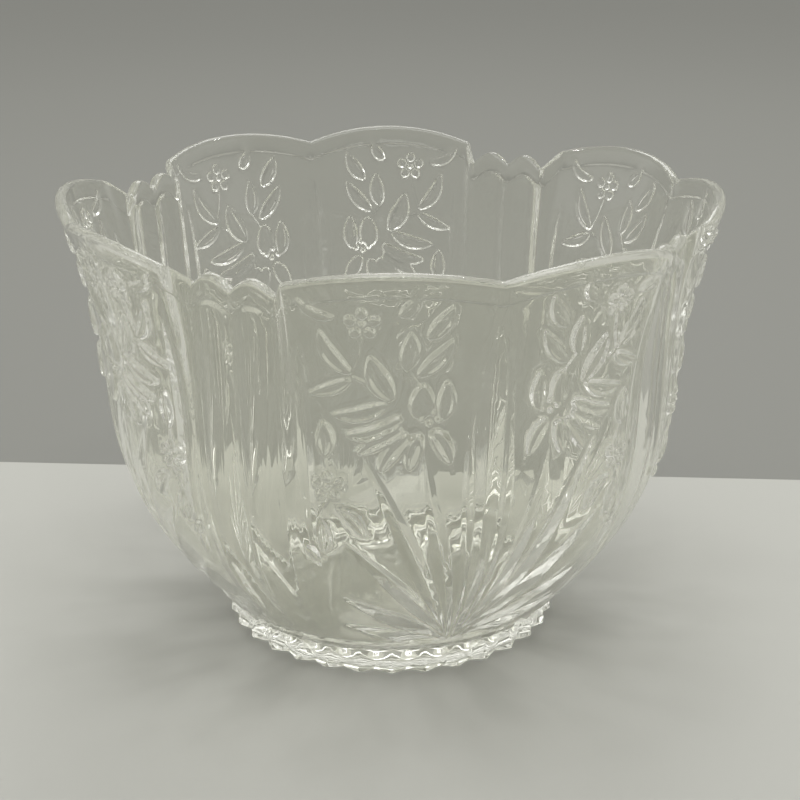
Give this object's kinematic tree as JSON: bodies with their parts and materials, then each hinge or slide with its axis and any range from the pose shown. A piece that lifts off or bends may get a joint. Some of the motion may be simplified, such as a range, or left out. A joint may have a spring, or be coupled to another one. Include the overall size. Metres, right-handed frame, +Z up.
{
  "type": "punch bowl",
  "caption": "Deep round pressed-glass punch bowl with a flared scalloped rim, fluted columns between raised floral panels, and a toothed foot ring.",
  "frame": {"origin": "centre of the foot ring, on the surface that the bowl stands on", "axes": "+Z up along the bowl's axis; +X and +Y through V notches of the rim, with the fluted columns half way between them"},
  "size_m": [0.2746, 0.2746, 0.19],
  "materials": {
    "clear_glass": "fire-polished clear pressed glass"
  },
  "bodies": {
    "root": {"foot_ring": "clear_glass", "bowl_floor": "clear_glass", "bowl_wall": "clear_glass", "scalloped_rim": "clear_glass"}
  },
  "joints": []
}
